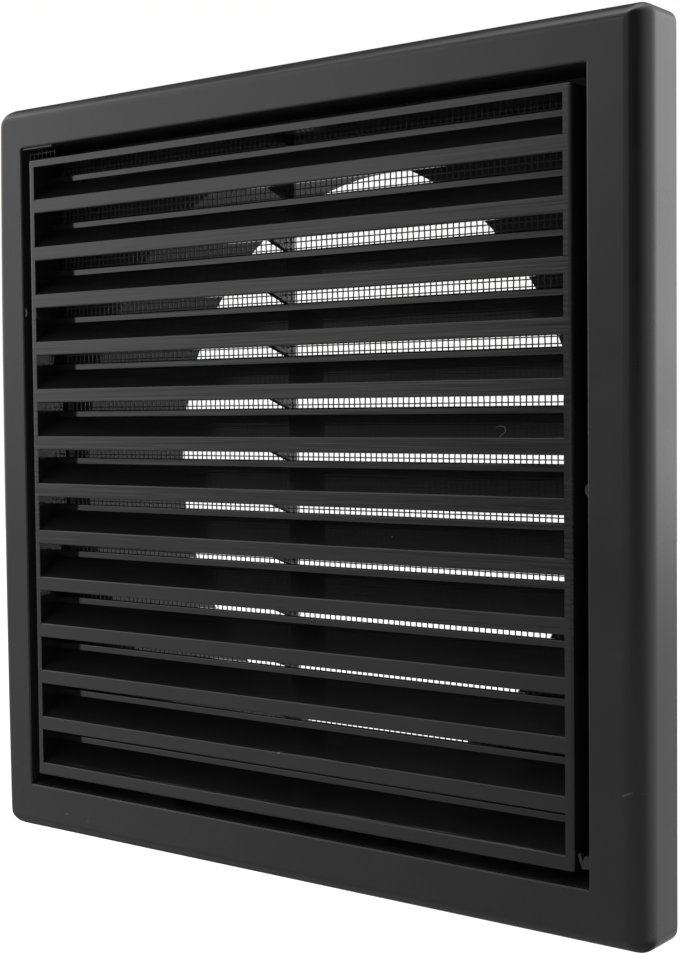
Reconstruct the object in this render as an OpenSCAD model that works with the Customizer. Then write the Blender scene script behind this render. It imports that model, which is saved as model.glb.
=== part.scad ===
/* [Face frame] */
// Width and height of the square frame over its sides
frame_w = 187; // [186:0.2:196]
// How far the frame's sides sit to the right of the opening's middle
face_right = 0.2; // [0:0.1:0.6]
// How far the frame's sides sit below the opening's middle
face_drop = 0.6; // [0:0.1:0.8]
// Depth of the frame from its front face back to the wall
frame_d = 15; // [14:0.5:22]
// Width and height of the square opening that the louvre panel sits in
opening_w = 163.4; // [162:0.2:165]
// Wall thickness of the frame moulding
skin_t = 2; // [1.4:0.1:2.1]
// Radius of the edge between the front face and the side curve
edge_r = 2; // [1:0.1:3]
// Radius of the slow curve that runs on down the sides
side_r = 8.2; // [8:0.1:12]
// Angle at which the edge runs into the side curve
edge_turn = 43; // [38:1:44]
// Radius of the frame's four corners, seen from the front
frame_corner_r = 2.3; // [2.2:0.05:2.4]
// Radius of the opening's inner front edge
opening_edge_r = 0.5; // [0.2:0.1:1]
// Thickness of the stiffening ribs behind the front face
stiffener_t = 1.2; // [0.8:0.1:2]
// Distance between neighbouring stiffening ribs
stiffener_pitch = 36; // [24:1:40]
// How far the stiffening ribs stop short of the wall
stiffener_setback = 1; // [0.5:0.5:3]

/* [Back plate and collar] */
// Inner diameter of the duct that the collar slides into
duct_d = 150; // [146:1:150]
// Gap all round between the collar and the duct
duct_clearance = 0.2; // [0.1:0.1:1]
// Wall thickness of the collar
collar_t = 1.4; // [1:0.1:3]
// Length of the collar behind the wall face
collar_l = 35; // [20:1:60]
// Size of the lead-in chamfer at the collar's end
collar_lead = 0.6; // [0.3:0.1:0.9]
// Radius at the front rim of the round duct opening
collar_mouth_r = 1.2; // [0.5:0.1:1.8]
// Thickness of the back plate
plate_t = 2; // [1.4:0.1:3]
// Distance between the fixing holes, across and up
fixing_pitch = 140; // [136:1:142]
// Diameter of the fixing holes
fixing_d = 4.5; // [3.5:0.1:5]
// Width of the collar of plastic round each fixing hole
fixing_boss_t = 2; // [1:0.1:2.5]
// Height of that collar in front of the back plate
fixing_boss_h = 1; // [0.5:0.1:1.5]
// Width of the ledge that the insect mesh rests on
ledge_t = 2; // [1.5:0.1:3]

/* [Louvre panel] */
// Gap all round between the frame's opening and the panel, at rest in the middle
channel_w = 2.95; // [2:0.05:4]
// Depth of the panel from its front face to the mesh
panel_d = 9.5; // [9:0.1:10.5]
// Width of the rim at the panel's sides and top
rim_t = 1.95; // [1.5:0.05:3]
// Radius of the panel's corners
panel_corner_r = 1; // [0.5:0.1:2]
// Radius of the panel's outer front edge
panel_edge_r = 0.8; // [0.3:0.1:0.9]
// How far the panel sits to the left of the middle, within its play
panel_slip = 0.3; // [0:0.1:0.3]
// How far the panel sits below the middle, within its play
panel_drop = 0.2; // [0:0.1:0.3]
// Play between the panel's side tabs and the frame, with the panel in the middle
tab_play = 0.4; // [0.35:0.05:0.8]
// Length of a side tab or foot
tab_l = 12; // [6:1:20]
// Depth of a side tab, ending at the panel's back
side_tab_d = 3; // [2:0.1:5.5]
// Depth of a foot, ending at the panel's back
foot_d = 1.2; // [0.8:0.1:2]
// Gap between the feet and the floor of the opening
foot_gap = 0.05; // [0.05:0.05:0.2]
// Distance of the tabs and feet from the middle of their side
tab_offset = 45; // [30:1:60]

/* [Slats] */
// Number of open slats above the sill
slat_count = 12; // [8:1:12]
// Distance from one slat to the next
slat_pitch = 12; // [12:0.1:12.1]
// Height of the sill's front lip, the lowest one
sill_h = 3.2; // [2.4:0.1:3.6]
// Height of a slat's front lip
lip_h = 3.4; // [2.4:0.1:4]
// Thickness of a slat's front lip
lip_t = 1.4; // [1:0.1:2]
// Thickness of a slat's sloping web
web_t = 1.4; // [1:0.1:1.8]
// How far the web runs back from the front face
web_run = 6.8; // [6:0.1:7.4]
// How far the web rises on its way back
web_rise = 5; // [4:0.1:5.4]
// Height of the rear lip above the web
rear_lip_h = 1.6; // [1:0.1:2]
// Thickness of the rear lip
rear_lip_t = 1.2; // [0.8:0.1:1.5]
// Radius of the lips' edges
lip_edge_r = 0.35; // [0.2:0.05:0.45]
// Thickness of the upright rib that ties the slats in the middle
spine_t = 1.5; // [1:0.1:3]

/* [Snap beads] */
// Height of a small bead on the opening's side walls
bead_h = 2.7; // [2:0.1:4]
// How far a small bead reaches into the channel
bead_l = 0.8; // [0.5:0.1:1.4]
// Depth of a small bead, front to back
bead_d = 1.2; // [0.8:0.1:2]
// Height of the left bead's middle above the middle
left_bead_z = 40; // [20:1:60]
// Height of the right bead's middle above the middle
right_bead_z = -2; // [-20:1:20]
// Height of the V-shaped snap hook at the right
hook_h = 3; // [2:0.1:4]
// How far the hook reaches into the channel
hook_l = 2.7; // [1.6:0.1:2.8]
// Thickness of the hook's free arm
hook_t = 0.7; // [0.5:0.1:0.8]
// Depth of the hook, front to back
hook_d = 1.2; // [0.8:0.1:3]
// Height of the hook's middle above the middle
hook_z = -76.4; // [-77:0.1:-60]
// Length of the flat land in the opening's top left corner
land_l = 10.8; // [4:0.2:12]
// Height of that land
land_h = 0.35; // [0.2:0.05:0.6]
// Depth of that land, front to back
land_d = 3; // [2:0.5:5]

/* [Insect mesh] */
// Thickness of the mesh sheet with its wires' ridges
mesh_t = 0.8; // [0.6:0.1:1.2]
// Height of the ridges on the front of the mesh sheet
ridge_h = 0.25; // [0.1:0.05:0.4]
// Width of a ridge
ridge_w = 0.6; // [0.4:0.1:1]
// How far the mesh sheet's edge stays inside the panel's edge
mesh_inset = 0.5; // [0.3:0.1:1]
// Width of the sheet's closed border
mesh_border = 3; // [2:0.1:4]
// Number of gaps along one side of the sheet
mesh_gaps = 10; // [4:1:10]
// Width of the bars between the gaps
mesh_bar = 2.6; // [1.5:0.1:4]

/* [Hidden] */
$fn = 48;

black = "#1c1c1d";
mesh_black = "#232324";

// Sides drawn for the duct's large circles, and for the edges' small ones
duct_sides = 96;
edge_sides = 24;
// Straight steps in which a polygon's rounded corner turns
arc_steps = 4;
// Angle of each straight step in which the frame's side curve turns
side_step = 4;
// Overlap by which joined solids run into one another, and cutters past a face
bite = 0.4;

// The frame's profile: its edge radius turns first, then the side curve
edge_inset = edge_r * sin(edge_turn) + side_r * (1 - sin(edge_turn));
edge_depth = edge_r * (1 - cos(edge_turn)) + side_r * cos(edge_turn);

// Depths behind the front face
front_y = -frame_d;
plate_front_y = -plate_t;
mesh_front_y = front_y + panel_d;
mesh_back_y = mesh_front_y + mesh_t;

collar_outer_r = duct_d / 2 - duct_clearance;
collar_inner_r = collar_outer_r - collar_t;

panel_w = opening_w - 2 * channel_w;
mesh_w = panel_w - 2 * mesh_inset;

// The sill's lip ends flush with the panel's foot, and the slats stand above it
sill_top_z = -panel_w / 2 + sill_h;

// A corner of a polygon turned into an arc of radius r, between its two neighbours
function corner_arc(before, at, after, r) =
    let (
        a = (before - at) / norm(before - at),
        b = (after - at) / norm(after - at),
        half = acos(a * b) / 2,
        centre = at + (a + b) / norm(a + b) * r / sin(half),
        from = at + a * r / tan(half) - centre,
        to = at + b * r / tan(half) - centre,
        start = atan2(from.y, from.x),
        sweep = atan2(from.x * to.y - from.y * to.x, from * to)
    )
    r == 0 ? [at] : [for (i = [0:arc_steps])
        centre + r * [cos(start + sweep * i / arc_steps), sin(start + sweep * i / arc_steps)]];

// A polygon whose corners have the given radii
function rounded(points, radii) =
    let (n = len(points))
    [for (i = [0:n - 1]) each corner_arc(points[(i + n - 1) % n], points[i], points[(i + 1) % n], radii[i])];

// Runs a section, drawn as depth and height, along X over the given length
module along_x(length) {
    rotate([90, 0, 90])
        linear_extrude(height = length, center = true)
            children();
}

// A square block with its middle on the duct axis, between two depths
module square_block(width, from_y, to_y, r = 0) {
    translate([0, to_y, 0])
        rotate([90, 0, 0])
            linear_extrude(height = to_y - from_y)
                rounded_square(width, r);
}

module rounded_square(width, r) {
    if (r == 0)
        square(width, center = true);
    else
        union() {
            square([width, width - 2 * r], center = true);
            square([width - 2 * r, width], center = true);
            for (x = [-1, 1], y = [-1, 1])
                translate([x, y] * (width / 2 - r))
                    circle(r);
        }
}

// What has to go from a square outer edge to leave it round, drawn at the corner
module edge_waste(r) {
    difference() {
        translate([-bite, -bite])
            square(r + bite);
        translate([r, r])
            circle(r, $fn = edge_sides);
    }
}

// The frame's edge as points of x and y: x runs outward from the middle of the corner's radius,
// y runs back from the front. thickness gives the edge of the space behind a skin that thick.
function side_point(thickness, a) = let (r = side_r - thickness)
    [frame_corner_r - side_r + r * sin(a), edge_depth - r * cos(a)];

// Angle at which the side curve passes the middle of the corner's radius
function corner_turn(thickness) = asin((side_r - frame_corner_r) / (side_r - thickness));

// The side curve between two angles, in steps of about side_step
function side_curve(thickness, from, to) =
    let (steps = ceil((to - from) / side_step))
    [for (i = [0:steps]) side_point(thickness, from + (to - from) * i / steps)];

// The edge inside the corner's radius, where the sides meet in mitres
function inner_edge(thickness) =
    let (
        from = thickness == 0 ? edge_turn : acos((edge_depth - thickness) / (side_r - thickness)),
        front = [for (i = [0:arc_steps - 1]) let (a = edge_turn * i / arc_steps)
            [frame_corner_r - edge_inset + edge_r * sin(a), edge_r * (1 - cos(a))]]
    )
    concat(thickness > 0 ? [] : front, side_curve(thickness, from, corner_turn(thickness)));

// The frame's middle between two opposite sides, up to the middle of the corners' radius
module middle_bar(thickness, reach) {
    edge = [for (p = inner_edge(thickness)) [reach + p.x, p.y]];
    translate([0, front_y, 0])
        along_x(2 * reach)
            mirror([1, -1])
                polygon(concat(
                    edge, [[reach, frame_d], [-reach, frame_d]],
                    [for (i = [len(edge) - 1:-1:0]) [-edge[i].x, edge[i].y]]));
}

// The edge outside that, which turns round the corners
module side_section(thickness) {
    polygon(concat(
        [[0, frame_d]], side_curve(thickness, corner_turn(thickness), 90),
        [[frame_corner_r - thickness, frame_d]]));
}

// The frame's outer form, or with a thickness the space behind its skin
module frame_form(thickness) {
    reach = frame_w / 2 - frame_corner_r;
    translate([face_right, 0, -face_drop]) {
        intersection() {
            middle_bar(thickness, reach);
            rotate([0, 90, 0])
                middle_bar(thickness, reach);
        }
        for (turn = [0:90:270])
            rotate([0, turn, 0]) {
                translate([0, front_y, reach])
                    along_x(2 * reach)
                        mirror([1, -1])
                            side_section(thickness);
                translate([reach, front_y, reach])
                    rotate([-90, 0, 0])
                        rotate_extrude()
                            side_section(thickness);
            }
    }
}

// Ribs from the opening's walls out to the frame's sides, kept within the skin
module stiffeners() {
    intersection() {
        frame_form(skin_t / 2);
        for (turn = [0:90:270], x = [-2:2])
            rotate([0, turn, 0])
                translate([x * stiffener_pitch - stiffener_t / 2, front_y + bite, opening_w / 2 + skin_t / 2])
                    cube([stiffener_t, frame_d - bite - stiffener_setback, (frame_w - opening_w) / 2]);
    }
}

module collar() {
    difference() {
        translate([0, plate_front_y, 0])
            rotate([-90, 0, 0])
                cylinder(r = collar_outer_r, h = plate_t + collar_l, $fn = duct_sides);
        translate([0, collar_l, 0])
            rotate([-90, 0, 0])
                rotate_extrude($fn = duct_sides)
                    translate([collar_outer_r, 0])
                        polygon([
                            [-collar_lead, bite], [-collar_lead, 0],
                            [0, -collar_lead * 3], [bite, -collar_lead * 3], [bite, bite]]);
    }
}

// The way through the collar, with the rounded rim at its front
module duct_way() {
    translate([0, plate_front_y - bite, 0])
        rotate([-90, 0, 0])
            cylinder(r = collar_inner_r, h = plate_t + collar_l + 2 * bite, $fn = duct_sides);
    translate([0, plate_front_y, 0])
        rotate([-90, 0, 0])
            rotate_extrude($fn = duct_sides)
                translate([collar_inner_r, 0])
                    difference() {
                        translate([-bite, -bite])
                            square([collar_mouth_r + bite, collar_mouth_r + bite]);
                        translate([collar_mouth_r, collar_mouth_r])
                            circle(collar_mouth_r, $fn = edge_sides);
                    }
}

module fixing_places() {
    for (x = [-1, 1], z = [-1, 1])
        translate([x * fixing_pitch / 2, 0, z * fixing_pitch / 2])
            children();
}

// A half-round bead on the opening's side wall, behind the opening's rounded edge
module snap_bead(side, z) {
    r = (bead_h * bead_h / 4 + bead_l * bead_l) / (2 * bead_l);
    intersection() {
        translate([side * (opening_w / 2 + r - bead_l), front_y + opening_edge_r, z])
            rotate([-90, 0, 0])
                cylinder(r = r, h = bead_d);
        translate([side * opening_w / 2 - bead_l, front_y, z - bead_h])
            cube([2 * bead_l, frame_d, 2 * bead_h]);
    }
}

// A V-shaped hook, its closed end down, grown from the opening's right side wall
module snap_hook() {
    translate([opening_w / 2, front_y + opening_edge_r, hook_z])
        mirror([1, 0, 0])
            rotate([90, 0, 0])
                translate([0, 0, -hook_d])
                    linear_extrude(height = hook_d)
                        polygon([
                            [-bite, hook_h * 0.4],
                            [hook_l * 0.4, hook_h * 0.4],
                            [hook_l * 0.6, 0],
                            [hook_l - hook_t, hook_h / 2],
                            [hook_l, hook_h / 2],
                            [hook_l * 0.8, -hook_h / 10],
                            [hook_l * 0.6, -hook_h / 2],
                            [-bite, -hook_h * 0.4]
                        ]);
}

module frame() {
    color(black)
        difference() {
            union() {
                difference() {
                    frame_form(0);
                    translate([0, bite, 0])
                        frame_form(skin_t);
                    frame_form(skin_t);
                }
                square_block(opening_w + 2 * skin_t, front_y + skin_t / 2, 0);
                stiffeners();
                collar();
            }
            difference() {
                square_block(opening_w, front_y - bite, plate_front_y);
                square_ledge();
                fixing_places()
                    translate([0, plate_front_y - fixing_boss_h, 0])
                        rotate([-90, 0, 0])
                            cylinder(r = fixing_d / 2 + fixing_boss_t, h = fixing_boss_h + bite);
                snap_bead(-1, left_bead_z);
                snap_bead(1, right_bead_z);
                snap_hook();
                translate([-opening_w / 2 - bite, front_y, opening_w / 2 - land_h])
                    cube([land_l + bite, land_d, land_h + bite]);
            }
            for (turn = [0:90:270])
                rotate([0, turn, 0])
                    translate([0, front_y, opening_w / 2])
                        along_x(opening_w)
                            edge_waste(opening_edge_r);
            duct_way();
            fixing_places()
                translate([0, plate_front_y - fixing_boss_h - bite, 0])
                    rotate([-90, 0, 0])
                        cylinder(r = fixing_d / 2, h = plate_t + fixing_boss_h + 2 * bite);
        }
}

// The ring on the back plate that carries the mesh sheet
module square_ledge() {
    difference() {
        square_block(mesh_w, mesh_back_y, plate_front_y + bite);
        square_block(mesh_w - 2 * ledge_t, mesh_back_y - bite, plate_front_y + 2 * bite);
    }
}

// One slat's section: depth behind the front face, height above the front lip's top
module slat_section() {
    slope = atan2(web_rise, web_run);
    under = web_t / cos(slope);
    back = web_run + rear_lip_t;
    lip_radii = [lip_edge_r, 0, lip_edge_r, lip_edge_r, 0, 0, lip_edge_r, lip_edge_r];
    polygon(rounded([
        [0, 0],
        [web_run, web_rise],
        [web_run, web_rise + rear_lip_h],
        [back, web_rise + rear_lip_h],
        [back, web_rise - under + rear_lip_t * tan(slope)],
        [lip_t, lip_t * tan(slope) - under],
        [lip_t, -lip_h],
        [0, -lip_h]
    ], lip_radii));
}

// The middle rib's section from one slat down to the next one's rear lip
module spine_section() {
    rear_top = web_rise + rear_lip_h;
    polygon([
        [lip_t / 2, -lip_h + bite],
        [lip_t / 2, -bite],
        [web_run + bite, web_rise - bite],
        [web_run + bite, rear_top],
        [panel_d, rear_top],
        [panel_d, rear_top - slat_pitch - bite],
        [web_run + bite, rear_top - slat_pitch - bite],
        [web_run + bite / 2, rear_top - slat_pitch],
        [lip_t, -lip_h]
    ]);
}

// Two tabs on each side keep the panel in the middle, and it stands on two feet
module tabs_and_feet() {
    for (turn = [90, 270], x = [-1, 1])
        rotate([0, turn, 0])
            translate([x * tab_offset - tab_l / 2, panel_d - side_tab_d, panel_w / 2 - bite])
                cube([tab_l, side_tab_d, channel_w - tab_play + bite]);
    for (x = [-1, 1])
        translate([x * tab_offset - tab_l / 2, panel_d - foot_d, panel_drop + foot_gap - opening_w / 2])
            cube([tab_l, foot_d, channel_w - panel_drop - foot_gap + bite]);
}

module louvre_panel() {
    color(black)
        translate([-panel_slip, front_y, -panel_drop]) {
            difference() {
                intersection() {
                    union() {
                        difference() {
                            square_block(panel_w, 0, panel_d);
                            square_block(panel_w - 2 * rim_t, -bite, panel_d + bite);
                        }
                        for (i = [0:slat_count])
                            translate([0, 0, sill_top_z + i * slat_pitch])
                                along_x(panel_w - rim_t)
                                    slat_section();
                        for (i = [0:slat_count + 1])
                            translate([0, 0, sill_top_z + i * slat_pitch])
                                along_x(spine_t)
                                    spine_section();
                    }
                    square_block(panel_w, 0, panel_d, panel_corner_r);
                }
                for (turn = [0:90:270])
                    rotate([0, turn, 0])
                        translate([0, 0, panel_w / 2])
                            along_x(panel_w)
                                mirror([0, 1])
                                    edge_waste(panel_edge_r);
            }
            tabs_and_feet();
        }
}

module insect_mesh() {
    field = mesh_w - 2 * mesh_border;
    step = (field + mesh_bar) / mesh_gaps;
    gap = step - mesh_bar;
    color(mesh_black)
        translate([-panel_slip, 0, -panel_drop]) {
            difference() {
                square_block(mesh_w, mesh_front_y + ridge_h, mesh_back_y);
                for (i = [0:mesh_gaps - 1], j = [0:mesh_gaps - 1])
                    translate([i * step - field / 2, mesh_front_y, j * step - field / 2])
                        cube([gap, mesh_t + bite, gap]);
            }
            for (turn = [0, 90], i = [0:mesh_gaps])
                rotate([0, turn, 0])
                    translate([i * step - field / 2 - mesh_bar / 2, mesh_front_y + mesh_t / 2, 0])
                        cube([ridge_w, mesh_t, mesh_w], center = true);
        }
}

frame();
louvre_panel();
insect_mesh();
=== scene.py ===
import math

import bmesh
import bpy
from mathutils import Matrix, Vector


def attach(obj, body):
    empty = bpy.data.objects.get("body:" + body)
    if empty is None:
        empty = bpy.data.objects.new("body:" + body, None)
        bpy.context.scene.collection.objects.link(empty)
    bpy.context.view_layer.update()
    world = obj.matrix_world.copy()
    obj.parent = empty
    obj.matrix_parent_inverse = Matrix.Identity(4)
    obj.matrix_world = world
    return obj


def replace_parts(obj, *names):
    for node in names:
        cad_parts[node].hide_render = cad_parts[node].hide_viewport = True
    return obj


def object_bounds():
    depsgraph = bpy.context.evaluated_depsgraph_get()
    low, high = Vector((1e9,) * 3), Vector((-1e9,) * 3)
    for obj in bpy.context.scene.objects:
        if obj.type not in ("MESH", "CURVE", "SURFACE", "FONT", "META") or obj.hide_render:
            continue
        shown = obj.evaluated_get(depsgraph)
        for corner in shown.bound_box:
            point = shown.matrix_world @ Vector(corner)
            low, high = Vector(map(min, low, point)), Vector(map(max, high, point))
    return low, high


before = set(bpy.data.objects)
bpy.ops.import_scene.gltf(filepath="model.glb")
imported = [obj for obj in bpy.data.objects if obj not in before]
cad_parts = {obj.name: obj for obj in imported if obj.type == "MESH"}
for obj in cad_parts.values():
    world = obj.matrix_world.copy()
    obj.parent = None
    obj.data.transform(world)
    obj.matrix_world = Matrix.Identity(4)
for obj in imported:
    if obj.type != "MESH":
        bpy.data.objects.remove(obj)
cadBox = [list(corner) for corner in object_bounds()]
cadLow, cadHigh = (Vector(corner) for corner in cadBox)
faceHalf = (cadHigh.x - cadLow.x) / 2
mm = 0.001
quarterTurn = math.radians(90)

# the photograph's camera: a pinhole, fitted to the grille's edges
cameraSettings = {
    "place": (0.24207, -0.30284, 0.01435),
    "turn": 37.622,  # degrees to the left of straight at the wall
    "tilt": -2.310,
    "roll": -0.547,
    "lens": 87.595,
    "sensor": 36.0,
    "clipStart": 0.01,
}


def makeCamera(s):
    turn, tilt, roll = (math.radians(s[k]) for k in ("turn", "tilt", "roll"))
    look = Vector((-math.sin(turn) * math.cos(tilt), math.cos(turn) * math.cos(tilt), math.sin(tilt)))
    across = Vector((math.cos(turn), math.sin(turn), 0))
    up = across.cross(look)
    right = across * math.cos(roll) + up * math.sin(roll)
    top = -across * math.sin(roll) + up * math.cos(roll)
    data = bpy.data.cameras.new("camera")
    data.sensor_fit = "HORIZONTAL"
    data.sensor_width = s["sensor"]
    data.lens = s["lens"]
    data.clip_start = s["clipStart"]
    camera = bpy.data.objects.new("camera", data)
    bpy.context.collection.objects.link(camera)
    camera.matrix_world = Matrix.Translation(s["place"]) @ Matrix((right, top, -look)).transposed().to_4x4()
    bpy.context.scene.camera = camera


makeCamera(cameraSettings)
print("camera placed")


# shader helpers: each takes a socket or a plain value for what goes in, and returns the output socket
def feed(tree, socket, value):
    if isinstance(value, bpy.types.NodeSocket):
        tree.links.new(value, socket)
    else:
        socket.default_value = value


def newMaterial(name):
    material = bpy.data.materials.new(name)
    material.use_nodes = True
    material.node_tree.nodes.clear()
    return material, material.node_tree


def newGroup(name, inputs, outputs):
    group = bpy.data.node_groups.new(name, "ShaderNodeTree")
    for key, kind, value in inputs:
        socket = group.interface.new_socket(name=key, in_out="INPUT", socket_type="NodeSocket" + kind)
        socket.default_value = value
    for key, kind in outputs:
        group.interface.new_socket(name=key, in_out="OUTPUT", socket_type="NodeSocket" + kind)
    return group, group.nodes.new("NodeGroupInput").outputs, group.nodes.new("NodeGroupOutput").inputs


def placeNode(tree):
    return tree.nodes.new("ShaderNodeTexCoord").outputs["Object"]


def splitNode(tree, vector):
    node = tree.nodes.new("ShaderNodeSeparateXYZ")
    feed(tree, node.inputs["Vector"], vector)
    return node.outputs


def noiseNode(tree, vector, scale, detail, rough=0.5):
    node = tree.nodes.new("ShaderNodeTexNoise")
    for key, value in (("Vector", vector), ("Scale", scale), ("Detail", detail), ("Roughness", rough)):
        feed(tree, node.inputs[key], value)
    return node.outputs["Fac"]


def rangeNode(tree, value, low, high, toLow=0.0, toHigh=1.0, smooth=False):
    node = tree.nodes.new("ShaderNodeMapRange")
    node.clamp = True
    if smooth:
        node.interpolation_type = "SMOOTHSTEP"
    feed(tree, node.inputs["Value"], value)
    for key, number in (("From Min", low), ("From Max", high), ("To Min", toLow), ("To Max", toHigh)):
        feed(tree, node.inputs[key], number)
    return node.outputs["Result"]


def mathNode(tree, operation, a, b=0.0, clamp=False):
    node = tree.nodes.new("ShaderNodeMath")
    node.operation = operation
    node.use_clamp = clamp
    for socket, value in zip(node.inputs, (a, b)):
        feed(tree, socket, value)
    return node.outputs["Value"]


def vectorNode(tree, operation, a, b=None):
    node = tree.nodes.new("ShaderNodeVectorMath")
    node.operation = operation
    for socket, value in zip(node.inputs, (a, b)):
        if value is not None:
            feed(tree, socket, value)
    return node.outputs["Value" if operation in ("DOT_PRODUCT", "LENGTH", "DISTANCE") else "Vector"]


def mixColour(tree, factor, a, b):
    node = tree.nodes.new("ShaderNodeMix")
    node.data_type = "RGBA"
    feed(tree, node.inputs["Factor"], factor)
    for socket, value in zip((socket for socket in node.inputs if socket.type == "RGBA"), (a, b)):
        feed(tree, socket, value)
    return next(socket for socket in node.outputs if socket.type == "RGBA")


# moulded plastic: a fine spark-eroded grain, slow waves from the moulding, long fine streaks along
# the slats as the melt leaves them, and a little dust
skinSettings = {
    "inputs": [("colour", "Color", (0.02, 0.02, 0.02, 1)), ("dustColour", "Color", (0.12, 0.12, 0.12, 1)),
               ("dust", "Float", 0.3), ("roughness", "Float", 0.34), ("roughnessSpread", "Float", 0.06),
               ("grainScale", "Float", 2600.0), ("grainDepth", "Float", 1.0),
               ("waveScale", "Float", 22.0), ("waveDepth", "Float", 1.0),
               ("waveStretch", "Vector", (1, 1, 1)),
               ("streakScale", "Float", 1500.0), ("streakDepth", "Float", 0.0)],
    "outputs": [("Colour", "Color"), ("Roughness", "Float"), ("Height", "Float")],
    # the heights at a depth of 1, and how much detail their noise has
    "grainHeight": 0.004 * mm,
    "grainDetail": 2.0,
    "waveHeight": 0.06 * mm,
    "waveDetail": 1.0,
    "streakHeight": 0.01 * mm,
    "streakDetail": 1.0,
    "streakStretch": (0.025, 1.0, 1.0),
    "cloud": (34.0, 5.0, 0.6),  # scale, detail and roughness of the noise for dust and gloss
    "cloudDust": (0.42, 0.75, 0.0, 0.35),  # over this range of the noise, this range of dust
    "cloudMiddle": 0.5,
    "cloudGloss": 4.0,
    "speck": (1400.0, 1.0),  # scale and detail of the noise for specks
    "speckEdge": (0.80, 0.86),
}


def mouldedSkinGroup(s):
    group, given, result = newGroup("mouldedSkin", s["inputs"], s["outputs"])
    place = placeNode(group)
    waved = vectorNode(group, "MULTIPLY", place, given["waveStretch"])
    streaked = vectorNode(group, "MULTIPLY", place, s["streakStretch"])
    height = 0.0
    for layer, at in (("grain", place), ("wave", waved), ("streak", streaked)):
        noise = noiseNode(group, at, given[layer + "Scale"], s[layer + "Detail"])
        rise = mathNode(group, "MULTIPLY", mathNode(group, "MULTIPLY", noise, given[layer + "Depth"]),
                        s[layer + "Height"])
        height = mathNode(group, "ADD", height, rise)
    feed(group, result["Height"], height)

    cloud = noiseNode(group, place, *s["cloud"])
    specks = rangeNode(group, noiseNode(group, place, *s["speck"]), *s["speckEdge"])
    dust = mathNode(group, "ADD", rangeNode(group, cloud, *s["cloudDust"]), specks)
    dust = mathNode(group, "MULTIPLY", dust, given["dust"])
    feed(group, result["Colour"], mixColour(group, dust, given["colour"], given["dustColour"]))

    spread = mathNode(group, "SUBTRACT", cloud, s["cloudMiddle"])
    spread = mathNode(group, "MULTIPLY", spread, given["roughnessSpread"])
    spread = mathNode(group, "MULTIPLY", spread, s["cloudGloss"])
    feed(group, result["Roughness"], mathNode(group, "ADD", given["roughness"], spread))
    return group


# a short fine line or spot: how near a point lies to the line between two ends
fineMarkSettings = {
    "inputs": [("start", "Vector", (0, 0, 0)), ("end", "Vector", (0, 0, 0)),
               ("width", "Float", 0.2 * mm), ("strength", "Float", 0.5)],
    "outputs": [("Mask", "Float")],
    "flat": (1, 0.3, 1),  # depth counts less, so a mark follows a curved face
    "shortest": 1e-10,  # m squared, for a spot, whose ends are one
    "crispness": 2.0,
}


def fineMarkGroup(s):
    group, given, result = newGroup("fineMark", s["inputs"], s["outputs"])
    away = vectorNode(group, "SUBTRACT", placeNode(group), given["start"])
    away = vectorNode(group, "MULTIPLY", away, s["flat"])
    line = vectorNode(group, "SUBTRACT", given["end"], given["start"])
    line = vectorNode(group, "MULTIPLY", line, s["flat"])
    length = mathNode(group, "MAXIMUM", vectorNode(group, "DOT_PRODUCT", line, line), s["shortest"])
    share = mathNode(group, "DIVIDE", vectorNode(group, "DOT_PRODUCT", away, line), length, clamp=True)
    gap = vectorNode(group, "DISTANCE", away, vectorNode(group, "MULTIPLY", line, share))
    near = mathNode(group, "SUBTRACT", 1.0, mathNode(group, "DIVIDE", gap, given["width"]))
    near = mathNode(group, "MULTIPLY", near, s["crispness"], clamp=True)
    feed(group, result["Mask"], mathNode(group, "MULTIPLY", near, given["strength"]))
    return group


# 1 on the walls inside the square opening, which the mould leaves rougher
def innerMask(tree, s):
    place = splitNode(tree, placeNode(tree))
    across, high = (mathNode(tree, "ABSOLUTE", place[axis]) for axis in ("X", "Z"))
    out = mathNode(tree, "MAXIMUM", across, high)
    within = mathNode(tree, "LESS_THAN", out, s["half"])
    return mathNode(tree, "MULTIPLY", within, mathNode(tree, "GREATER_THAN", place["Y"], s["front"]))


def bentMark(points, width, strength):
    return [(start, end, width, strength) for start, end in zip(points, points[1:])]


mouldedSkin = mouldedSkinGroup(skinSettings)
fineMark = fineMarkGroup(fineMarkSettings)

blackSkin = {
    "colour": (0.010, 0.010, 0.0102, 1),
    "dustColour": (0.09, 0.09, 0.092, 1),
    "dust": 0.12,
    "grainScale": 2600.0,
}
framePlastic = {
    "skin": dict(blackSkin, roughness=0.26, roughnessSpread=0.05, grainDepth=1.0,
                 waveScale=22.0, waveDepth=1.0),
    "bumpStrength": 1.0,
    "ior": 1.5,
    "inner": {
        "half": 81.75 * mm,
        "front": -14.4 * mm,
        "roughness": 0.55,
        "colour": (0.016, 0.016, 0.0162, 1),
    },
    # start, end (mm), width (mm), strength: a scratch by the lower right corner, and specks
    "marks": [((89.4, -15, -61.8), (91.0, -14.3, -61.1), 0.26, 0.18),
              ((92.4, -12.3, -61.4), (92.5, -12.2, -61.4), 0.26, 0.06),
              ((92.6, -11.2, -62.5), (92.7, -11.4, -62.4), 0.24, 0.30),
              ((-68.66, -15, -87.84), (-68.5, -15, -87.84), 0.26, 0.30),
              ((-61.17, -15, -88.71), (-61.0, -15, -88.71), 0.22, 0.25)],
    "markColour": (0.30, 0.30, 0.30, 1),
    "markRoughness": 0.7,
}
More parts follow.
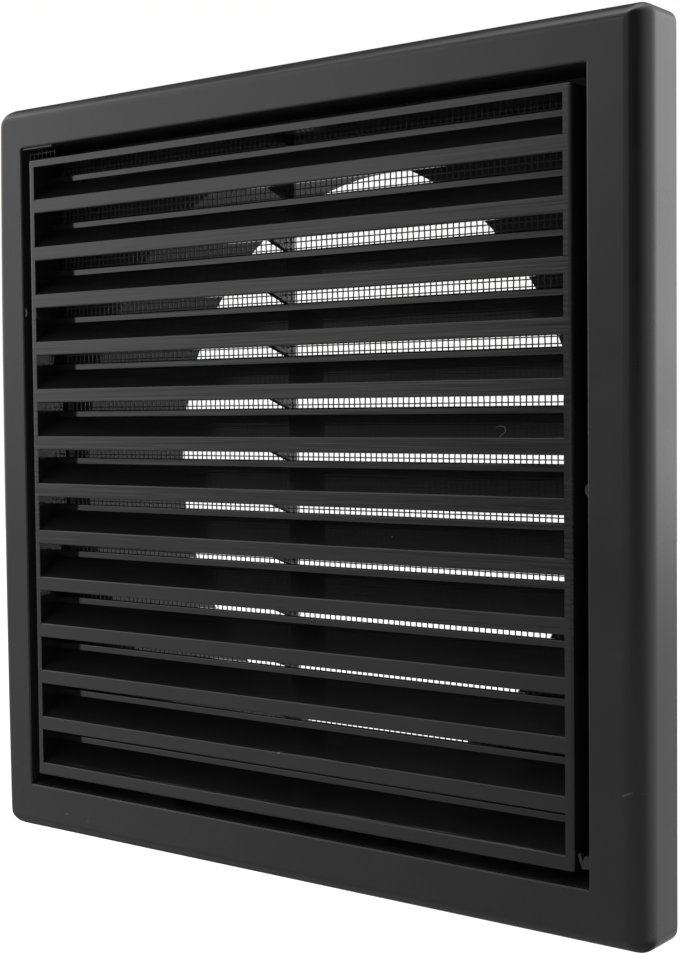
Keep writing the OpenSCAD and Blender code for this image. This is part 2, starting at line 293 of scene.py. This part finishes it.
panelPlastic = {
    "skin": dict(blackSkin, roughness=0.09, roughnessSpread=0.02, grainDepth=0.5,
                 waveScale=30.0, waveDepth=0.6, waveStretch=(0.12, 1, 1),
                 streakScale=1500.0, streakDepth=4.0),
    "bumpStrength": 1.0,
    "ior": 1.5,
    # a short hair on a slat, a speck on another and a nick in a lip's edge
    "marks": bentMark([(58.70, -11.97, 10.48), (59.70, -11.64, 10.72), (60.80, -11.97, 10.48),
                       (61.75, -13.07, 9.67), (61.55, -13.89, 9.07), (61.35, -14.70, 8.47)], 0.11, 0.42)
    + [((31.87, -11.80, -13.39), (31.87, -11.80, -13.39), 0.22, 0.60),
       ((1.70, -14.90, -63.78), (1.85, -14.90, -63.80), 0.26, 0.55)],
    "markColour": (0.30, 0.30, 0.30, 1),
    "markRoughness": 0.7,
}
wirePlastic = {
    "skin": {"colour": (0.050, 0.050, 0.051, 1), "dustColour": (0.12, 0.12, 0.122, 1), "dust": 0.3,
             "roughness": 0.38, "roughnessSpread": 0.08, "grainScale": 5200.0, "grainDepth": 0.4,
             "waveScale": 60.0, "waveDepth": 0.1},
    "bumpStrength": 0.6,
    "ior": 1.5,
}


def markMask(tree, marks):
    mask = 0.0
    for start, end, width, strength in marks:
        mark = tree.nodes.new("ShaderNodeGroup")
        mark.node_tree = fineMark
        mark.inputs["start"].default_value = [v * mm for v in start]
        mark.inputs["end"].default_value = [v * mm for v in end]
        mark.inputs["width"].default_value = width * mm
        mark.inputs["strength"].default_value = strength
        mask = mathNode(tree, "MAXIMUM", mask, mark.outputs["Mask"])
    return mask


def mouldedPlastic(name, s):
    material, tree = newMaterial(name)
    skin = tree.nodes.new("ShaderNodeGroup")
    skin.node_tree = mouldedSkin
    for key, value in s["skin"].items():
        skin.inputs[key].default_value = value
    colour, roughness = skin.outputs["Colour"], skin.outputs["Roughness"]
    if "marks" in s:
        marks = markMask(tree, s["marks"])
        colour = mixColour(tree, marks, colour, s["markColour"])
        rougher = mathNode(tree, "MULTIPLY", marks, s["markRoughness"])
        roughness = mathNode(tree, "MAXIMUM", roughness, rougher)
    if "inner" in s:
        inner = innerMask(tree, s["inner"])
        colour = mixColour(tree, inner, colour, s["inner"]["colour"])
        rougher = mathNode(tree, "MULTIPLY", inner, s["inner"]["roughness"])
        roughness = mathNode(tree, "MAXIMUM", roughness, rougher)
    bump = tree.nodes.new("ShaderNodeBump")
    bump.inputs["Strength"].default_value = s["bumpStrength"]
    bump.inputs["Distance"].default_value = 1.0  # the heights are in metres
    feed(tree, bump.inputs["Height"], skin.outputs["Height"])
    shader = tree.nodes.new("ShaderNodeBsdfPrincipled")
    for key, value in (("Base Color", colour), ("Roughness", roughness), ("Normal", bump.outputs["Normal"]),
                       ("IOR", s["ior"])):
        feed(tree, shader.inputs[key], value)
    feed(tree, tree.nodes.new("ShaderNodeOutputMaterial").inputs["Surface"], shader.outputs["BSDF"])
    return material


def dress(name, material):
    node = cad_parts[name]
    node.data.materials.clear()
    node.data.materials.append(material)


frameMaterial = mouldedPlastic("framePlastic", framePlastic)
wireMaterial = mouldedPlastic("wirePlastic", wirePlastic)
dress("frame", frameMaterial)
dress("louvre_panel", mouldedPlastic("panelPlastic", panelPlastic))
print("mouldings dressed")


def addObject(name, mesh, material):
    mesh.materials.append(material)
    made = bpy.data.objects.new(name, mesh)
    bpy.context.collection.objects.link(made)
    return made


def meshFrom(build, name):
    mesh = bpy.data.meshes.new(name)
    build.to_mesh(mesh)
    build.free()
    return mesh


def once(items):
    # each item one time, in the order they come
    return list(dict.fromkeys(items))


# the frame's own shape, with its outer corners drawn rounder and the ends of its left side drawn in
mouldingSettings = {
    "middle": Vector(((cadLow.x + cadHigh.x) / 2, 0, (cadLow.z + cadHigh.z) / 2)),
    "half": faceHalf,
    "reach": faceHalf - 8.6 * mm,  # a corner is redrawn outside this
    "cornerCuts": [faceHalf - v * mm for v in (8.6, 6.6, 5.0, 3.7, 2.6, 1.7, 0.9, 0.35)],
    "sideCuts": [v * mm for v in (-75, -60, -45, -30, 0, 30, 45, 60, 75)],
    "solidRadius": 2.3 * mm,
    # the rounder corners, by right or left and then top or bottom
    "radius": {(-1, 1): 4.8 * mm, (1, 1): 2.7 * mm, (-1, -1): 4.6 * mm, (1, -1): 3.2 * mm},
    "drawnIn": {1: 1.5 * mm, -1: 1.0 * mm},  # at the top and the bottom of the left side
    "drawnPower": 2.2,
    "weld": 0.001 * mm,
    "cutTolerance": 0.0005 * mm,
    "step": 0.001 * mm,  # for the change from one place to the next
    "nudge": 0.02,  # the share of the way into its face at which a corner's normal is taken
}


def roundedReach(half, radius, more, less):
    # how far out a square with rounded corners lies, in a direction with these two parts
    inner = half - radius
    if half * less / more <= inner:
        return half / more
    return inner * (more + less) + math.sqrt(max(0.0, radius ** 2 - inner ** 2 * (1 - 2 * more * less)))


def drawIn(point, s):
    # where a point of the plain shape goes
    x, z = point.x - s["middle"].x, point.z - s["middle"].z
    right, top = (1 if x > 0 else -1), (1 if z > 0 else -1)
    pastX, pastZ = abs(x) - s["reach"], abs(z) - s["reach"]
    zone = s["half"] - s["reach"]
    if pastX > 0 and pastZ > 0:
        inner = zone - s["solidRadius"]
        if pastX > inner and pastZ > inner:
            inset = s["solidRadius"] - math.hypot(pastX - inner, pastZ - inner)
        else:
            inset = zone - max(pastX, pastZ)
        length = math.hypot(pastX, pastZ)
        more, less = max(pastX, pastZ) / length, min(pastX, pastZ) / length
        radius = min(max(s["radius"][right, top] - inset, 0.0), zone - inset)
        out = roundedReach(zone - inset, radius, more, less) / length
        pastX, pastZ = pastX * out, pastZ * out
        x, z = right * (s["reach"] + pastX), top * (s["reach"] + pastZ)
    if right < 0 and pastX > 0:
        x += pastX / zone * s["drawnIn"][top] * (abs(z) / s["half"]) ** s["drawnPower"]
    return Vector((x, point.y, z)) + s["middle"]


def drawNormal(point, normal, s):
    # the normal turns as the surface is drawn in, by the inverse transpose of the change at that place
    columns = []
    for way in (Vector((s["step"], 0, 0)), Vector((0, 0, s["step"]))):
        columns.append((drawIn(point + way, s) - drawIn(point - way, s)) / (2 * s["step"]))
    change = Matrix((columns[0], Vector((0, 1, 0)), columns[1])).transposed()
    return (change.inverted().transposed() @ normal).normalized()


def inCorner(around, s):
    return abs(around.x) > s["reach"] and abs(around.z) > s["reach"]


def onLeftSide(around, s):
    return around.x < -s["reach"]


def cutMoulding(build, s):
    # cuts the faces in the corners and on the left side small enough to bend
    def cut(place, way, chosen):
        faces = [f for f in build.faces if chosen(f.calc_center_median() - s["middle"], s)]
        around = once(e for f in faces for e in f.edges) + once(v for f in faces for v in f.verts)
        bmesh.ops.bisect_plane(build, geom=faces + around, dist=s["cutTolerance"],
                               plane_co=s["middle"] + way * place, plane_no=way)

    across, upwards = Vector((1, 0, 0)), Vector((0, 0, 1))
    for number, place in enumerate(s["cornerCuts"]):
        # the first cuts run right across, so the corners meet what lies between them
        chosen = inCorner if number else lambda around, s: True
        for way in (across, upwards):
            for side in (1, -1):
                cut(side * place, way, chosen)
    for height in s["sideCuts"]:
        cut(height, upwards, onLeftSide)


def makeMoulding(name, s, material):
    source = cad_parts["frame"].data
    build = bmesh.new()
    build.from_mesh(source)
    shine = build.loops.layers.float_vector.new("shine")  # keeps each face corner's normal through the cuts
    for face, polygon in zip(build.faces, source.polygons):
        for loop, index in zip(face.loops, polygon.loop_indices):
            loop[shine] = source.corner_normals[index].vector
    bmesh.ops.remove_doubles(build, verts=build.verts, dist=s["weld"])
    cutMoulding(build, s)
    for face in build.faces:
        face.smooth = True
        centre = face.calc_center_median()
        for loop in face.loops:
            point = loop.vert.co.lerp(centre, s["nudge"])
            around = point - s["middle"]
            if inCorner(around, s) or onLeftSide(around, s):
                loop[shine] = drawNormal(point, loop[shine], s)
    for edge in build.edges:
        edge.smooth = True
    for vert in build.verts:
        vert.co = drawIn(vert.co, s)
    mesh = meshFrom(build, name)
    normals = [item.vector.normalized() for item in mesh.attributes["shine"].data]
    for attribute in ("shine", "custom_normal"):
        if attribute in mesh.attributes:
            mesh.attributes.remove(mesh.attributes[attribute])
    mesh.normals_split_custom_set(normals)
    piece = addObject(name, mesh, material)
    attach(piece, "root")
    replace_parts(piece, "frame")


makeMoulding("frameMoulding", mouldingSettings, frameMaterial)
print("frame's corners drawn")

# the insect mesh: a plain weave, each wire passing over and under its neighbours,
# and the loose strip of it that is bent forward into the channel above the panel
meshSettings = {
    "pitch": 1.5 * mm,
    "wireRadius": 0.15 * mm,
    "sway": 0.06 * mm,  # how far a wire swings off the middle plane at a crossing
    "sides": 6,
    "columns": 104,
    "rows": 104,
    "firstCrossing": (-77.55 * mm, -5.1 * mm, -77.45 * mm),
}
flapSettings = dict(meshSettings, columns=7, rows=7, firstCrossing=(-81.2 * mm, -5.1 * mm, 78.55 * mm),
                    foldHeight=78.85 * mm, foldDepth=-12.2 * mm)  # forward over the rim, then up


def oneWire(build, s, crossings, sign):
    # a wire along Z from half a pitch below its first crossing, as a tube that swings at each crossing
    ring = bmesh.ops.create_circle(build, segments=s["sides"], radius=s["wireRadius"])["verts"]
    bmesh.ops.translate(build, verts=ring, vec=(0, 0, -s["pitch"] / 2))
    edges = once(e for v in ring for e in v.link_edges)
    wire = list(ring)
    for step in range(crossings + 1):
        swing = sign * s["sway"] * (-1) ** step
        rise = s["pitch"] / 2
        if 0 < step < crossings:
            swing *= 2
            rise = s["pitch"]
        grown = bmesh.ops.extrude_edge_only(build, edges=edges)["geom"]
        verts = [g for g in grown if isinstance(g, bmesh.types.BMVert)]
        edges = [g for g in grown if isinstance(g, bmesh.types.BMEdge) and all(v in verts for v in g.verts)]
        bmesh.ops.translate(build, verts=verts, vec=(0, swing, rise))
        wire += verts
    ends = [e for e in build.edges if e.is_boundary]
    bmesh.ops.holes_fill(build, edges=ends, sides=s["sides"])
    return wire


def weaveOneWay(build, s, upright):
    crossings, number, sign = (s["rows"], s["columns"], 1) if upright else (s["columns"], s["rows"], -1)
    wire = oneWire(build, s, crossings, sign)
    edges = once(e for v in wire for e in v.link_edges)
    faces = once(f for v in wire for f in v.link_faces)
    made = list(wire)
    for other in range(1, number):
        copy = bmesh.ops.duplicate(build, geom=wire + edges + faces)["geom"]
        verts = [g for g in copy if isinstance(g, bmesh.types.BMVert)]
        if other % 2:
            bmesh.ops.scale(build, verts=verts, vec=(1, -1, 1))
        bmesh.ops.translate(build, verts=verts, vec=(other * s["pitch"], 0, 0))
        made += verts
    if not upright:  # lies the wires along X, still counted upwards from the first crossing
        bmesh.ops.rotate(build, verts=made, cent=(0, 0, 0), matrix=Matrix.Rotation(-quarterTurn, 3, "Y"))
        bmesh.ops.scale(build, verts=made, vec=(-1, 1, 1))


def putInOrder(items, key):
    # the extruding leaves them in another order each run, and a fixed one gives the same mesh every time
    rank = {item: number for number, item in enumerate(sorted(items, key=key))}
    items.sort(key=rank.get)
    items.index_update()


def fold(build, centre, angle, chosen):
    verts = [v for v in build.verts if chosen(v.co)]
    bmesh.ops.rotate(build, verts=verts, cent=centre, matrix=Matrix.Rotation(angle, 3, "X"))


def weave(name, s, ways):
    build = bmesh.new()
    for upright in ways:
        weaveOneWay(build, s, upright)
    bmesh.ops.translate(build, verts=build.verts, vec=s["firstCrossing"])
    if "foldHeight" in s:
        height, depth = s["foldHeight"], s["foldDepth"]
        fold(build, (0, s["firstCrossing"][1], height), quarterTurn, lambda place: place.z > height)
        fold(build, (0, depth, height), -quarterTurn, lambda place: place.y < depth)
    bmesh.ops.recalc_face_normals(build, faces=build.faces)
    putInOrder(build.verts, lambda vert: vert.co[:])
    putInOrder(build.faces, lambda face: sorted(vert.index for vert in face.verts))
    for face in build.faces:
        face.smooth = len(face.verts) == 4
    piece = addObject(name, meshFrom(build, name), wireMaterial)
    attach(piece, "root")
    return piece


for name, upright in (("meshUpright", True), ("meshAcross", False)):
    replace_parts(weave(name, meshSettings, [upright]), "insect_mesh")
weave("meshFlap", flapSettings, [True, False])
print("insect mesh woven")

# studio: a white background, and a sky of soft patches that the glossy plastic mirrors
stageSettings = {
    "floorHeight": -0.55,
    "floorSize": 12.0,
    "floorColour": 0.80,
    "floorFill": 0.5,  # brings the lit floor to white for the camera
    "mirroredFill": 0.2,  # and brings it up in reflections
    "backdropTowards": (0.6, 0.8, 0.0),  # the part of the background that reflections show
    "backdropEdge": (0.42, 1.0),
    "backdropNear": (0.9, 1.5),  # m along the floor, where it begins to the right behind
    "straightBehind": (-0.10, 0.995, 0.0),  # and the middle of where it begins nearer
    "straightEdge": (0.743, 0.891),
    "straightNear": (0.7, 1.1),  # m along the floor
    "behindEdge": (0.2, 0.5),  # and, all along behind the object, its lowest part
    "backdropTop": (0.14, 0.20),
    "backdropFoot": (2.3, 3.2),  # m along the floor
    "mirroredDepth": (-0.45, 0.75),  # over this depth the floor goes dark in reflections
    "brightTowards": (-0.866, -0.5, 0.0),  # and it is brightest to the left in front
    "brightEdge": (0.80, 0.98, 0.65, 1.2),  # over this range of directions, this range of brightness
}
skyPatches = [
    # name, azimuth, height, half width (degrees), strength
    ("frontLeftEdge", 30, 20, 30, 0.5),
    ("frontLeft", 50, 20, 30, 1.1),
    ("leftLevel", 42, 0, 14, 0.22),
    ("leftLow", 70, 0, 30, 0.8),
    ("leftHigh", 90, 20, 30, 2.0),
    ("aboveLeft", 75, 44, 22, 0.8),
    ("aboveBehindLeft", 105, 40, 20, 0.10),
    ("aboveBehind", 112, 70, 20, 0.7),
    ("behindLeft", 138, 20, 35, 0.10),
    ("front", -12, 8, 38, 0.5),
    ("right", -50, 5, 30, 0.12),
    ("overhead", 0, 90, 45, 1.9),
    ("behindRight", -160, 8, 28, 1.5),
]


def levelNode(tree, direction):
    return vectorNode(tree, "NORMALIZE", vectorNode(tree, "MULTIPLY", direction, (1.0, 1.0, 0.0)))


def stageRays(tree, direction, lowPart, s):
    # the camera sees the background everywhere, a reflection sees it to the right behind the object
    rays = tree.nodes.new("ShaderNodeLightPath").outputs
    straight = mathNode(tree, "MAXIMUM", rays["Is Camera Ray"], rays["Is Transmission Ray"])
    level = levelNode(tree, direction)
    facing = vectorNode(tree, "DOT_PRODUCT", level, s["backdropTowards"])
    backdrop = rangeNode(tree, facing, *s["backdropEdge"], smooth=True)
    behind = rangeNode(tree, splitNode(tree, level)["Y"], *s["behindEdge"])
    low = mathNode(tree, "MULTIPLY", behind, lowPart)
    return straight, rays["Is Glossy Ray"], mathNode(tree, "MAXIMUM", backdrop, low)


def floorBackdrop(tree, place, backdrop, reach, s):
    # how much of the background a reflection shows on the floor
    backdrop = mathNode(tree, "MULTIPLY", backdrop, rangeNode(tree, reach, *s["backdropNear"]))
    behind = vectorNode(tree, "DOT_PRODUCT", levelNode(tree, place), s["straightBehind"])
    behind = rangeNode(tree, behind, *s["straightEdge"])
    behind = mathNode(tree, "MULTIPLY", behind, rangeNode(tree, reach, *s["straightNear"]))
    return mathNode(tree, "MAXIMUM", backdrop, behind)


def floorPaper(s):
    material, tree = newMaterial("floorPaper")
    place = placeNode(tree)
    reach = vectorNode(tree, "LENGTH", place)
    straight, glossy, backdrop = stageRays(tree, place, rangeNode(tree, reach, *s["backdropFoot"]), s)
    backdrop = floorBackdrop(tree, place, backdrop, reach, s)
    near = rangeNode(tree, splitNode(tree, place)["Y"], *s["mirroredDepth"], 1.0, 0.0, smooth=True)
    leftward = vectorNode(tree, "DOT_PRODUCT", vectorNode(tree, "NORMALIZE", place), s["brightTowards"])
    near = mathNode(tree, "MULTIPLY", near, rangeNode(tree, leftward, *s["brightEdge"]))
    mirrored = mathNode(tree, "MAXIMUM", near, backdrop)
    seen = mathNode(tree, "MAXIMUM", mirrored, mathNode(tree, "SUBTRACT", 1.0, glossy))
    shader = tree.nodes.new("ShaderNodeBsdfDiffuse")
    feed(tree, shader.inputs["Color"], mathNode(tree, "MULTIPLY", seen, s["floorColour"]))
    fill = mathNode(tree, "MULTIPLY", mathNode(tree, "MULTIPLY", glossy, backdrop), s["mirroredFill"])
    fill = mathNode(tree, "ADD", mathNode(tree, "MULTIPLY", straight, s["floorFill"]), fill)
    glow = tree.nodes.new("ShaderNodeEmission")
    feed(tree, glow.inputs["Strength"], fill)
    both = tree.nodes.new("ShaderNodeAddShader")
    for socket, part in zip(both.inputs, (shader, glow)):
        feed(tree, socket, part.outputs[0])
    feed(tree, tree.nodes.new("ShaderNodeOutputMaterial").inputs["Surface"], both.outputs[0])
    return material


def makeStage(s):
    build = bmesh.new()
    bmesh.ops.create_grid(build, x_segments=1, y_segments=1, size=s["floorSize"] / 2)
    bmesh.ops.translate(build, verts=build.verts, vec=(0, 0, s["floorHeight"]))
    floor = addObject("floor", meshFrom(build, "floor"), floorPaper(s))


def skyDirection(azimuth, height):
    return (-math.sin(azimuth) * math.cos(height), -math.cos(azimuth) * math.cos(height), math.sin(height))


def makeWorld(s, patches):
    world = bpy.data.worlds.new("studio")
    bpy.context.scene.world = world
    world.use_nodes = True
    tree = world.node_tree
    tree.nodes.clear()
    direction = tree.nodes.new("ShaderNodeTexCoord").outputs["Generated"]
    low = rangeNode(tree, splitNode(tree, direction)["Z"], *s["backdropTop"], 1.0, 0.0)
    straight, glossy, backdrop = stageRays(tree, direction, low, s)
    strength = mathNode(tree, "MULTIPLY", glossy, backdrop)
    for name, *degrees, bright in patches:
        azimuth, height, width = (math.radians(v) for v in degrees)
        facing = vectorNode(tree, "DOT_PRODUCT", direction, skyDirection(azimuth, height))
        patch = rangeNode(tree, facing, math.cos(width), 1.0, 0.0, bright, smooth=True)
        patch.node.label = name
        strength = mathNode(tree, "ADD", strength, patch)
    room = tree.nodes.new("ShaderNodeBackground")
    white = tree.nodes.new("ShaderNodeBackground")
    for shade in (room, white):
        shade.inputs["Color"].default_value = (1, 1, 1, 1)
    feed(tree, room.inputs["Strength"], strength)
    mix = tree.nodes.new("ShaderNodeMixShader")
    for socket, part in zip(mix.inputs, (straight, room.outputs[0], white.outputs[0])):
        feed(tree, socket, part)
    feed(tree, tree.nodes.new("ShaderNodeOutputWorld").inputs["Surface"], mix.outputs[0])


makeStage(stageSettings)
makeWorld(stageSettings, skyPatches)
bpy.context.scene.view_settings.view_transform = "Standard"
print("studio lit")
